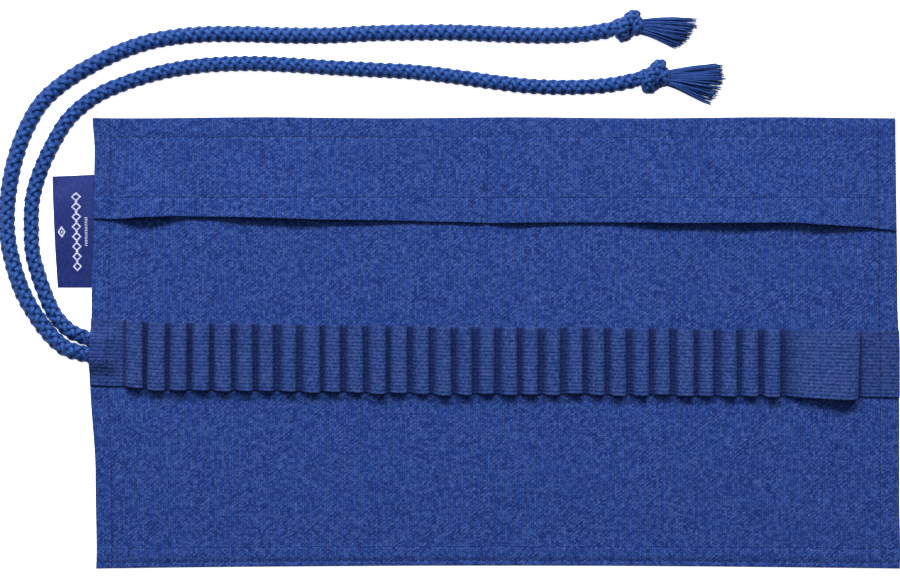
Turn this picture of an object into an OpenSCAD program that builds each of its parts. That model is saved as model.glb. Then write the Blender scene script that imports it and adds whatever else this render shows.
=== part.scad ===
/*
   Brush roll case, lying open and flat with its inner side up.

   A canvas panel carries a shallow pocket along its top edge, a band of wide elastic sewn down
   into a row of narrow loops and one wide loop, a woven label in the left seam, and a braided
   tie cord folded double under the left end of the elastic.

   The origin is the middle of the panel's underside. +X runs along the row of loops, +Y runs
   towards the pocket and +Z is up, away from the surface that the panel lies on.

   The panel, the pocket and the elastic are each one piece of fabric. They are divided here into
   strips, two loops to a strip, so that the case can roll up about the lines between the strips.
   The fold lines run along Y, fold_z above the underside.
*/

/* [Canvas panel] */
// Height of the panel, from the bottom hem to the top edge
panel_h = 210; // [160:1:300]
// Thickness of the panel
canvas_t = 0.8; // [0.5:0.1:1.2]
// Width of the doubled hem along the bottom edge
hem_w = 9.3; // [5:0.1:20]
// Extra thickness of the bottom hem
hem_t = 0.6; // [0.3:0.1:1]

/* [Pocket] */
// How far the pocket reaches down from the top edge
flap_drop = 48.5; // [30:0.5:60]
// How much lower the pocket hangs on its last strip
flap_sag = 2.5; // [0:0.5:5]
// Thickness of the pocket's cloth
flap_t = 0.8; // [0.5:0.1:1]
// Space between the panel and the pocket's cloth
pocket_gap = 1; // [0.6:0.1:1.2]
// Width of the seam along the top edge
top_seam = 9; // [5:0.5:15]
// Width of the hem along the pocket's mouth
flap_hem = 11; // [6:0.5:15]
// Extra thickness of the pocket's hem, on its inner side
flap_hem_t = 0.3; // [0.1:0.1:0.5]
// Width of the seams down the two ends
side_seam = 8.5; // [5:0.5:12]
// Place of the seam that divides the pocket, from the middle of the panel
divider_x = -3.7; // [-8:0.1:10]
// Width of the seam that divides the pocket
divider_w = 2; // [1:0.5:4]
// Clearance between neighbouring strips of the pocket
flap_clear = 0.6; // [0.4:0.1:1]

/* [Elastic band] */
// Number of strips that carry two narrow loops each
loop_pairs = 15; // [4:1:15]
// Distance from one narrow loop to the next
loop_pitch = 10.25; // [8.5:0.25:14]
// Clear height inside a narrow loop
loop_clear = 4.4; // [4.2:0.1:6]
// Clearance between neighbouring loops
loop_gap = 0.75; // [0.5:0.05:1]
// Width of the elastic
tape_w = 31; // [25:1:50]
// Thickness of the elastic
tape_t = 0.9; // [0.6:0.1:1.2]
// Height of the elastic's middle line above the panel's middle
tape_y = -7.9; // [-30:0.1:30]
// Slope of the elastic, down towards the last loop, in degrees
tape_tilt = 0.68; // [0:0.02:1]
// Length of the flat elastic before the first loop
first_flat = 14.5; // [14:0.5:30]
// Width of the wide loop
wide_w = 35.5; // [25:0.5:50]
// Height of the wide loop's folded edge above the panel
wide_rise = 6; // [5:0.1:7]
// Length of the flat elastic after the wide loop
last_flat = 17.5; // [12:0.5:40]

/* [Label] */
// How far the label stands out of the left seam
label_w = 17.5; // [10:0.5:30]
// Length of the label along the seam
label_h = 52; // [20:1:80]
// Height of the label's middle above the panel's middle
label_y = 51.5; // [20:0.5:60]
// Thickness of the folded label
label_t = 0.7; // [0.4:0.1:0.8]
// How much the label's outer edge leans inwards at its lower end
label_slant = 2.3; // [0:0.1:3]

/* [Tie cord] */
// Diameter of the cord
cord_d = 6.8; // [4:0.1:7.5]
// Clearance between the two strands where they leave the panel
cord_clear = 0.4; // [0.2:0.1:1]
// Place of the cord where it leaves the panel, from the panel's middle
cord_y = -2.6; // [-10:0.1:4]
// Thickness of the cord's bend where it is sewn flat under the elastic
bend_t = 4.5; // [3:0.1:5]
// How far the bend reaches in from the panel's edge
bend_l = 10.5; // [9:0.5:13]

/* [Hidden] */
$fn = 48;

// Strips: loop strips first, then the wide loop, then the flat end.
strips = loop_pairs + 2;
panel_w = first_flat + 2 * loop_pairs * loop_pitch + wide_w + last_flat;
left = -panel_w / 2;
bottom = -panel_h / 2;
top = panel_h / 2;
fold_z = 2.4;

function strip_w(k) =
    k == 1 ? first_flat + 2 * loop_pitch
    : k <= loop_pairs ? 2 * loop_pitch
    : k == loop_pairs + 1 ? wide_w
    : last_flat;
function strip_x(k) = k == 1 ? left : strip_x(k - 1) + strip_w(k - 1);

// Middle line of the sloping elastic at a given place along the panel.
function tape_mid(x) = tape_y - x * tan(tape_tilt);

// Names, such as loops_07.
function two(k) = k < 10 ? str("0", k) : str(k);
function names(word, n) = [for (k = [1:n]) str(word, "_", two(k))];

// Heights of the layers.
flap_z = canvas_t + pocket_gap;
flap_top = flap_z + flap_t;
loop_h = loop_clear + tape_t;

// Outline of one narrow loop, from its left foot over the top to its right foot.
loop_half = (loop_pitch - loop_gap) / 2;
loop_line = [
    [-loop_half, 0], [-loop_half, 1.4], [-loop_half + 0.45, 0.62 * loop_h],
    [-loop_half + 1.45, loop_h], [loop_half - 1.45, loop_h],
    [loop_half - 0.45, 0.62 * loop_h], [loop_half, 1.4], [loop_half, 0]
];

// Outline of the wide loop, low at its left end and folded hard over at its right.
wide_line = [
    [0.4, 0], [2.5, 1.6], [8, wide_rise - 1.5], [wide_w - 3.5, wide_rise],
    [wide_w - 1.5, wide_rise - 2], [wide_w - 0.4, 0]
];

// A band of thickness t under an open outline that runs from left to right with both feet at z = 0.
function unit(v) = v / norm(v);
function under(a, b) = let (u = unit(b - a)) [u[1], -u[0]];
function band_in(p, t) = let (n = len(p)) [
    for (i = [0:n - 1])
        i == 0 ? p[0] + [t / under(p[0], p[1])[0], 0]
        : i == n - 1 ? p[i] + [t / under(p[i - 1], p[i])[0], 0]
        : let (a = under(p[i - 1], p[i]), b = under(p[i], p[i + 1])) p[i] + (a + b) * t / (1 + a * b)
];
function back(p) = [for (i = [len(p) - 1:-1:0]) p[i]];
function band(p, t) = concat(p, back(band_in(p, t)));

// The two strands of the cord. Points are offsets from the place where the cord leaves the
// panel: right, up the panel, and height of the cord's middle above its resting height.
strand_off = (cord_d + cord_clear) / 2;
bend_out = 0.5;
cord_z = cord_d / 2 + 0.2;
upper_run = [
    [-5, 5.5, 0], [-11, 8.5, 0], [-17.5, 15.5, 0], [-22, 25, 0], [-25.5, 35, 0], [-28, 45, 0],
    [-28.5, 57, 0], [-28, 69, 0], [-24.5, 82, 0], [-18, 96, 0], [-10.5, 107.5, 0],
    [1, 117, 0], [14, 123, 0], [30, 128, 0], [50, 131.5, 0], [72, 132.5, 0], [92, 131.8, 0],
    [112, 130.5, 0], [132, 129.5, 0], [150, 128.5, 0], [168, 126.5, 0], [186, 124, 0],
    [204, 122, 0], [222, 121.5, 0], [240, 122.4, 0.5], [253.5, 124.8, 2.6]
];
lower_run = [
    [-5.5, -2.4, 0], [-13, 0.2, 0], [-20, 6.5, 0], [-27, 16, 0], [-33, 27, 0], [-37, 39, 0],
    [-39.5, 51, 0], [-40, 63, 0], [-38.5, 77, 0], [-35.5, 90, 0], [-31, 102, 0],
    [-24, 114, 0], [-14, 123.2, 0], [-1, 131.4, 0], [14, 138.5, 0], [30, 143.5, 0],
    [50, 146, 0], [70, 146.2, 0], [90, 145.6, 0], [110, 145.6, 0], [130, 146.6, 0],
    [150, 147, 0], [170, 147, 0], [190, 146.2, 0], [210, 145.6, 0], [228, 146.2, 0.5],
    [241.5, 148, 2.6]
];

// The knot and the tassel that follow each strand: place as above, then half width and half height.
upper_end = [
    [255.5, 125.4, 3, 6.2, 5.6], [261, 126.4, 3.2, 8.2, 6.4], [266, 126.6, 3, 6.4, 5.6],
    [268, 126.2, 2.6, 3.6, 3.2], [277, 124.8, 1.4, 6.2, 4.4], [286, 123.4, 0.8, 8.4, 4],
    [294, 122, 0.2, 9.4, 3.4]
];
lower_end = [
    [243.5, 148.5, 3, 5.8, 5.4], [249, 149.6, 3.2, 7.4, 6.4], [254, 149.8, 3, 6, 5.6],
    [256, 149.6, 2.6, 3.6, 3.2], [264, 148.6, 1.4, 5.6, 4.4], [273, 147.6, 0.8, 7.2, 4],
    [281.5, 146.6, 0.2, 7.8, 3.4]
];
knot_rings = 4;

// Whole line of a strand: [place, half width, half height] for each ring. The first ring stands
// on the end of the bend, bend_out past the panel's edge, and the last ones make the knot and the tassel.
function place(p) = [left + p[0], cord_y + p[1], cord_z + p[2]];
function strand(side, run, end) = concat(
    [[place([-bend_out, side * strand_off, 0]), cord_d / 2, cord_d / 2]],
    [for (p = run) [place(p), cord_d / 2, cord_d / 2]],
    [for (p = end) [place(p), p[3], p[4]]]
);
upper_strand = strand(1, upper_run, upper_end);
lower_strand = strand(-1, lower_run, lower_end);
cord_sides = 10;

// One ring of points about ring i of a strand, square to the line there.
function ring(s, i) = let (
    a = s[max(i - 1, 0)][0], b = s[min(i + 1, len(s) - 1)][0],
    t = i == 0 ? [-1, 0, 0] : unit(b - a),
    side = unit(cross([0, 0, 1], t)), up = cross(t, side)
) [for (j = [0:cord_sides - 1]) let (w = 360 * (j + 0.5) / cord_sides)
    s[i][0] + side * s[i][1] * cos(w) + up * s[i][2] * sin(w)];

// Closed tube through rings a to b of a strand.
module tube(s, a, b) {
    n = cord_sides;
    points = [for (i = [a:b]) each ring(s, i)];
    last = (b - a) * n;
    polyhedron(points, concat(
        [[for (j = [0:n - 1]) j]],
        [for (i = [0:b - a - 1]) for (j = [0:n - 1]) let (k = (j + 1) % n)
            [i * n + j, (i + 1) * n + j, (i + 1) * n + k]],
        [for (i = [0:b - a - 1]) for (j = [0:n - 1]) let (k = (j + 1) % n)
            [i * n + j, (i + 1) * n + k, i * n + k]],
        [[for (j = [n - 1:-1:0]) last + j]]
    ));
}
upper_cut = len(upper_run);
lower_cut = len(lower_run);

// Extrudes a profile drawn in X and Z along Y, centred on y = 0.
module along_y(length) {
    translate([0, length / 2, 0]) rotate([90, 0, 0]) linear_extrude(height = length) children();
}

// One strip of the canvas panel, with its share of the bottom hem.
module back_panel(k) {
    color([0.17, 0.27, 0.54]) translate([strip_x(k), bottom, 0]) {
        cube([strip_w(k), panel_h, canvas_t]);
        cube([strip_w(k), hem_w, canvas_t + hem_t]);
    }
}

// One strip of the pocket: sewn down along the top, open towards the loops, hemmed at its mouth.
module pocket_flap(k) {
    first = k == 1;
    last = k == strips;
    w = strip_w(k) - (first || last ? flap_clear / 2 : flap_clear);
    drop = flap_drop + (last ? flap_sag : 0);
    x = strip_x(k) + (first ? 0 : flap_clear / 2);
    color([0.19, 0.29, 0.56]) {
        translate([x, top - drop, flap_z]) cube([w, drop, flap_t]);
        translate([x, top - drop, flap_z - flap_hem_t]) cube([w, flap_hem, flap_hem_t + 0.1]);
        translate([x, top - top_seam, canvas_t]) cube([w, top_seam, pocket_gap + 0.1]);
        if (first)
            translate([x, top - drop, canvas_t]) cube([side_seam, drop, pocket_gap + 0.1]);
        if (last)
            translate([x + w - side_seam, top - drop, canvas_t]) cube([side_seam, drop, pocket_gap + 0.1]);
        if (divider_x - divider_w / 2 > strip_x(k) && divider_x + divider_w / 2 < strip_x(k) + strip_w(k))
            translate([divider_x - divider_w / 2, top - drop, canvas_t])
                cube([divider_w, drop, pocket_gap + 0.1]);
    }
}

// Two narrow loops and the elastic sewn down beside and between them.
module brush_loops(k) {
    x = strip_x(k) + strip_w(k) - 2 * loop_pitch;
    bite = 0.1;
    color([0.165, 0.245, 0.465]) translate([x, tape_mid(x + loop_pitch), canvas_t]) {
        for (i = [0, 1])
            translate([(i + 0.5) * loop_pitch, 0, 0]) along_y(tape_w) polygon(band(loop_line, tape_t));
        for (i = [0:2])
            translate([i == 0 ? 0 : i * loop_pitch - loop_gap / 2 - bite, -tape_w / 2, 0])
                cube([i == 1 ? loop_gap + 2 * bite : loop_gap / 2 + bite, tape_w, tape_t]);
    }
}

// The wide loop at the end of the row.
module wide_loop() {
    x = strip_x(loop_pairs + 1);
    color([0.18, 0.265, 0.49]) translate([x, tape_mid(x + wide_w / 2), canvas_t])
        along_y(tape_w) polygon(band(wide_line, tape_t));
}

// The flat end of the elastic, raised over the bend of the cord.
module tape_left_end() {
    y = tape_mid(left);
    hump = cord_d + cord_clear / 2 + 0.3;
    z = canvas_t + bend_t;
    lo = cord_y - hump;
    hi = cord_y + hump;
    color([0.165, 0.245, 0.465]) translate([left, 0, 0]) rotate([90, 0, 90])
        linear_extrude(height = first_flat) polygon([
            [y - tape_w / 2, canvas_t], [lo - 1.9, canvas_t], [lo, z], [hi, z], [hi + 1.6, canvas_t],
            [y + tape_w / 2, canvas_t], [y + tape_w / 2, canvas_t + tape_t],
            [hi + 2.3, canvas_t + tape_t], [hi + 0.7, z + tape_t], [lo - 0.7, z + tape_t],
            [lo - 2.6, canvas_t + tape_t], [y - tape_w / 2, canvas_t + tape_t]
        ]);
}

// The flat end of the elastic after the wide loop.
module tape_right_end() {
    x = strip_x(strips);
    color([0.165, 0.245, 0.465]) translate([x, tape_mid(x) - tape_w / 2, canvas_t])
        cube([last_flat, tape_w, tape_t]);
}

// The folded label, standing out of the left seam.
module woven_label() {
    color([0.2, 0.22, 0.46]) translate([left, label_y - label_h / 2, 0.05])
        linear_extrude(height = label_t)
            polygon([[0, 0], [0, label_h], [-label_w, label_h], [-label_w + label_slant, 0]]);
}

// The cord's bend, pressed flat and sewn in under the elastic.
module cord_bend() {
    r = cord_d + cord_clear / 2;
    color([0.15, 0.28, 0.55]) translate([left, cord_y, canvas_t]) linear_extrude(height = bend_t)
        difference() {
            union() {
                translate([-bend_out, -r]) square([bend_l + bend_out - r, 2 * r]);
                translate([bend_l - r, 0]) circle(r = r);
            }
            translate([-2 * r, -r - 1]) square([2 * r - bend_out, 2 * r + 2]);
            translate([-2 * r, -cord_clear / 2]) square([bend_l + r, cord_clear]);
        }
}

// The cord's two strands, each with its knot and its tassel.
module tie_cord_upper() { color([0.14, 0.28, 0.55]) tube(upper_strand, 0, upper_cut); }
module tie_cord_lower() { color([0.14, 0.28, 0.55]) tube(lower_strand, 0, lower_cut); }
module knot_upper() { color([0.15, 0.29, 0.57]) tube(upper_strand, upper_cut, upper_cut + knot_rings); }
module knot_lower() { color([0.15, 0.29, 0.57]) tube(lower_strand, lower_cut, lower_cut + knot_rings); }
module tassel_upper() {
    color([0.15, 0.27, 0.52]) tube(upper_strand, upper_cut + knot_rings, len(upper_strand) - 1);
}
module tassel_lower() {
    color([0.15, 0.27, 0.52]) tube(lower_strand, lower_cut + knot_rings, len(lower_strand) - 1);
}

for (k = [1:strips]) back_panel(k);
for (k = [1:strips]) pocket_flap(k);
for (k = [1:loop_pairs]) brush_loops(k);
wide_loop();
tape_left_end();
tape_right_end();
woven_label();
cord_bend();
tie_cord_upper();
tie_cord_lower();
knot_upper();
knot_lower();
tassel_upper();
tassel_lower();
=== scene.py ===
import math

import bpy
import numpy as np
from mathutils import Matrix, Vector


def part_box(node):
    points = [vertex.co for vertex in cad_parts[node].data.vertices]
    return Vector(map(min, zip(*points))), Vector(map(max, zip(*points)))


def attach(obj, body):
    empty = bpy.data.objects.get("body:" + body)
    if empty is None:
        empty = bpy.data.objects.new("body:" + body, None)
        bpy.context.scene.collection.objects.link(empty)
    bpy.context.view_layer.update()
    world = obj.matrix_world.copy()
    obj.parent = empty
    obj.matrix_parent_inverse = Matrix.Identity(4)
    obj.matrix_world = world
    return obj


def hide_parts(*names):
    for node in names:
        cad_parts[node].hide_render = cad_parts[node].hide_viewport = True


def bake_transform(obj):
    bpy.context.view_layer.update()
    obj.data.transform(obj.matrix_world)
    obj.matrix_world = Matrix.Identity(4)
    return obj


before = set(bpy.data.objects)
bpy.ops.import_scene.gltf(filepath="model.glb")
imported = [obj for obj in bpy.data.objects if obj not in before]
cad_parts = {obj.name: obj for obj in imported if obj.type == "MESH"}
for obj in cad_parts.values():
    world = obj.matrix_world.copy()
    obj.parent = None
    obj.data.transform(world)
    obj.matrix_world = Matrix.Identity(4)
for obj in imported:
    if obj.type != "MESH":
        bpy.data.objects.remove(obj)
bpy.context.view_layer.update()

# ---------------------------------------------------------------------------------------------
# The setting: a white table under soft studio light, seen from straight above.
# The biggest light stands past the pocket's side, so each raised edge throws a short soft shade
# towards the bottom hem.
MM = 0.001
view_middle = (-21.0 * MM, 24.9 * MM)
view_width = 419.9 * MM
lens_mm, sensor_mm = 100.0, 36.0

camera = bpy.data.objects.new("camera", bpy.data.cameras.new("camera"))
camera.data.lens, camera.data.sensor_width = lens_mm, sensor_mm
camera.data.sensor_fit = "HORIZONTAL"
camera.data.clip_start, camera.data.clip_end = 0.01, 20
camera.location = (*view_middle, view_width * lens_mm / sensor_mm + 2 * MM)
bpy.context.collection.objects.link(camera)
bpy.context.scene.camera = camera
bpy.context.scene.view_settings.view_transform = "Standard"


def soft_light(name, place, size, watts, aim=(0, 0, 0)):
    """A studio softbox that looks at aim. Its size is its width and its height."""
    lamp = bpy.data.lights.new(name, "AREA")
    lamp.shape, lamp.size, lamp.size_y, lamp.energy = "RECTANGLE", *size, watts
    stand = bpy.data.objects.new(name, lamp)
    away = np.array(place, float) - np.array(aim, float)
    away /= np.linalg.norm(away)
    stand.location = place
    stand.rotation_euler = (math.acos(away[2]), 0, math.atan2(away[1], away[0]) + math.pi / 2)
    bpy.context.collection.objects.link(stand)


soft_light("window_light", (-0.16, 1.27, 1.18), (2.8, 0.35), 76)
soft_light("sky_panel", (-0.2, 0.5, 2.3), (1.6, 1.6), 15)

world = bpy.data.worlds.new("studio")
bpy.context.scene.world = world
world.use_nodes = True
world.node_tree.nodes["Background"].inputs["Color"].default_value = (0.96, 0.98, 1.0, 1)
world.node_tree.nodes["Background"].inputs["Strength"].default_value = 0.09


def add(tree, kind, inputs=None, **settings):
    """A new node with its settings made, and each input given a value or joined to a socket."""
    made = tree.nodes.new(kind)
    for name, value in settings.items():
        setattr(made, name, value)
    for name, value in (inputs or {}).items():
        if isinstance(value, bpy.types.NodeSocket):
            tree.links.new(value, made.inputs[name])
        else:
            made.inputs[name].default_value = value
    return made


def plain_material(name, colour, roughness):
    """A Principled material, its tree and its shader."""
    made = bpy.data.materials.new(name)
    made.use_nodes = True
    shader = made.node_tree.nodes["Principled BSDF"]
    shader.inputs["Base Color"].default_value = (*colour, 1)
    shader.inputs["Roughness"].default_value = roughness
    return made, made.node_tree, shader


table = bpy.data.objects.new("table", bpy.data.meshes.new("table"))
table.data.from_pydata([(-6, -6, -0.05 * MM), (6, -6, -0.05 * MM), (6, 6, -0.05 * MM), (-6, 6, -0.05 * MM)],
                       [], [(0, 1, 2, 3)])
table_white, _, table_shader = plain_material("table_white", (0.9, 0.9, 0.9), 0.7)
table_shader.inputs["Emission Color"].default_value = (1, 1, 1, 1)
table_shader.inputs["Emission Strength"].default_value = 0.85
table.data.materials.append(table_white)
bpy.context.collection.objects.link(table)

# ---------------------------------------------------------------------------------------------
# The canvas panel: one piece of blue cotton canvas, 375 mm by 210 mm, that everything is sewn to.
# Its sides are turned under and stitched once, and its bottom is hemmed with two rows of stitches.
# It is cut into sixteen pieces here, each holding one fold line between two strips.
strips = 17
edges = [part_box(f"back_panel_{k:02d}")[0][0] / MM for k in range(1, strips + 1)]
edges.append(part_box(f"back_panel_{strips:02d}")[1][0] / MM)
left, right = edges[0], edges[-1]
bottom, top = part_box("back_panel_01")[0][1] / MM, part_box("back_panel_01")[1][1] / MM
canvas_thick = 0.8
cuts = [left] + [(edges[k] + edges[k + 1]) / 2 for k in range(1, strips - 1)] + [right]

side_seams = (left + 7.8, right - 8.5)
hem_rows = (bottom + 9.3, bottom + 2.8)
top_row = top - 9.0
hem_thick = 0.5
stitch_pitch = 3.25


def flow(at, places, values):
    """A smooth line through the values."""
    at = np.clip(np.asarray(at, float), places[0], places[-1])
    i = np.clip(np.searchsorted(places, at) - 1, 0, len(places) - 2)
    places, values = np.asarray(places, float), np.asarray(values, float)
    t = (at - places[i]) / (places[i + 1] - places[i])
    return values[i] + (values[i + 1] - values[i]) * t * t * (3 - 2 * t)


def side_wander(y, side):
    """How far the left or the right edge strays from straight."""
    if side < 0:
        return flow(y, [-105, -99, -62, -15, 20, 62, 90, 105], [1.2, 1.4, 0.9, -1.7, -0.9, -0.1, 0.4, -0.5])
    return flow(y, [-105, -99, -73, -5, 20, 105], [1.7, 1.9, 1.4, 1.4, 0.5, -0.4])


def stray(x, y):
    """Places in the cloth moved as its sides and its bottom wander."""
    near_left, near_right = np.exp(-(x - left) / 22), np.exp(-(right - x) / 22)
    low = np.exp(-(y - bottom) / 30)
    return (
        x + side_wander(y, -1) * near_left + side_wander(y, 1) * near_right,
        y + low * (0.7 - 1.4 * (x / right) ** 2) + 0.25 * np.exp(-(top - y) / 12) * np.sin(x / 19 + 1),
    )


def swell(x, y):
    """How the cloth's underside rises off the table here and there."""
    lazy = 0.34 + 0.16 * np.sin(x / 37 + 0.6) * np.cos(y / 41 + 0.4) + 0.12 * np.sin(x / 17.3 + y / 61 + 2)
    down = np.exp(-np.abs(y + 38) / 24)
    folds = 0.10 * np.sin(x / 4.4 + 0.8 * np.sin(x / 31)) * down + 0.13 * np.sin(x / 9.1 + y / 90 + 1.1) * down
    return np.maximum(lazy + folds, 0.02)


def press(x, y, rows, deep=0.34, wide=0.75):
    """How deep rows of stitches pull the cloth in. A row is ("x" or "y", its place)."""
    sunk = 0
    for way, place in rows:
        off, along = (x - place, y) if way == "x" else (y - place, x)
        pucker = 0.75 + 0.25 * np.cos(2 * np.pi * along / stitch_pitch)
        sunk = sunk + 1.4 * deep * np.exp(-((off / wide) ** 2)) * pucker
        sunk = sunk - 0.10 * np.exp(-(((np.abs(off) - 2.2) / 1.2) ** 2)) * np.sin(along / 2.9 + 3 * np.sin(along / 23))
    return sunk


panel_rows = [("x", side_seams[0]), ("x", side_seams[1]), ("y", hem_rows[0]), ("y", hem_rows[1]), ("y", top_row)]


def rounding(away, radius=0.45):
    """1 inside a folded edge, falling to almost 0 at it."""
    t = np.clip(away / radius, 0, 1)
    return np.sqrt(np.maximum(1 - (1 - t) ** 2, 0.02))


def panel_top(x, y):
    """Height of the panel's upper side."""
    hem = hem_thick * (1 / (1 + np.exp((y - hem_rows[0] - 0.6) / 0.25)))
    return swell(x, y) + canvas_thick + hem - press(x, y, panel_rows)


def grid_lines(start, end, step, fine=(), keep=()):
    """Lines from start to end about step apart, closer together beside each place in fine."""
    close = [p + d for p in fine for d in (-1.6, -1.0, -0.55, -0.2, 0.2, 0.55, 1.0, 1.6) if start < p + d < end]
    rim = [start, start + 0.08, start + 0.25, start + 0.5, end - 0.5, end - 0.25, end - 0.08, end]
    fixed = sorted(set(close + rim + list(keep)))
    plain = [p for p in np.linspace(start, end, round((end - start) / step) + 1)
             if min(abs(p - f) for f in fixed) > 0.3 * step]
    lines = sorted(plain + fixed)
    kept = set(keep) | {start, end}
    return np.array([p for i, p in enumerate(lines) if p in kept or i == 0 or p - lines[i - 1] > 0.05])


def closed_sheet(name, upper, lower, laid, material):
    """A thin closed piece of cloth between two grids of points, in millimetres. laid is where each
    point was in the flat cloth, which the weave follows."""
    across, along = upper.shape[:2]
    n = np.arange(across * along).reshape(across, along)
    skin = np.stack([n[:-1, :-1], n[1:, :-1], n[1:, 1:], n[:-1, 1:]], -1).reshape(-1, 4)
    ring = np.concatenate([n[:, 0], n[-1, 1:], n[-2::-1, -1], n[0, -2:0:-1]])
    ahead = np.roll(ring, -1)
    far = across * along
    walls = np.stack([ring + far, ahead + far, ahead, ring], -1)
    faces = np.concatenate([skin, skin[:, ::-1] + far, walls])
    points = np.concatenate([upper.reshape(-1, 3), lower.reshape(-1, 3)]) * MM
    flat = np.concatenate([laid.reshape(-1, 3), laid.reshape(-1, 3) + (0, 300, 0)]) * MM
    return cloth_mesh(name, points, faces, flat, material)


def cloth_mesh(name, points, faces, flat, material, sharp=55):
    """An object from points in metres, with the places in the flat cloth kept as an attribute."""
    mesh = bpy.data.meshes.new(name)
    mesh.from_pydata(points, [], faces.tolist() if hasattr(faces, "tolist") else faces)
    mesh.attributes.new("laid", "FLOAT_VECTOR", "POINT").data.foreach_set("vector", np.ravel(flat).astype(np.float32))
    mesh.shade_smooth()
    mesh.set_sharp_from_angle(angle=math.radians(sharp))
    mesh.materials.append(material)
    made = bpy.data.objects.new(name, mesh)
    bpy.context.collection.objects.link(made)
    return made


def over_fold(piece):
    """Bakes a piece of cloth's transform into its mesh."""
    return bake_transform(piece)


def calc(tree, operation, *values, clamp=False):
    """The result of one step of arithmetic on sockets and numbers."""
    made = add(tree, "ShaderNodeMath", operation=operation, use_clamp=clamp)
    for socket, value in zip(made.inputs, values):
        if isinstance(value, bpy.types.NodeSocket):
            tree.links.new(value, socket)
        else:
            socket.default_value = value
    return made.outputs[0]


def mixed(tree, share, first, second, how="MIX"):
    """Two colours mixed by share."""
    made = add(tree, "ShaderNodeMix", data_type="RGBA", blend_type=how)
    for socket, value in zip((made.inputs[0], made.inputs[6], made.inputs[7]), (share, first, second)):
        if isinstance(value, bpy.types.NodeSocket):
            tree.links.new(value, socket)
        else:
            socket.default_value = value if isinstance(value, float) else (*value, 1)
    return made.outputs[2]


def new_group(name, takes, gives):
    """An empty node group with its inputs and outputs, and its two end nodes."""
    group = bpy.data.node_groups.new(name, "ShaderNodeTree")
    for label, kind in takes:
        group.interface.new_socket(label, in_out="INPUT", socket_type=kind)
    for label, kind in gives:
        group.interface.new_socket(label, in_out="OUTPUT", socket_type=kind)
    return group, add(group, "NodeGroupInput"), add(group, "NodeGroupOutput")


FLOAT, VECTOR = "NodeSocketFloat", "NodeSocketVector"


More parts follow.
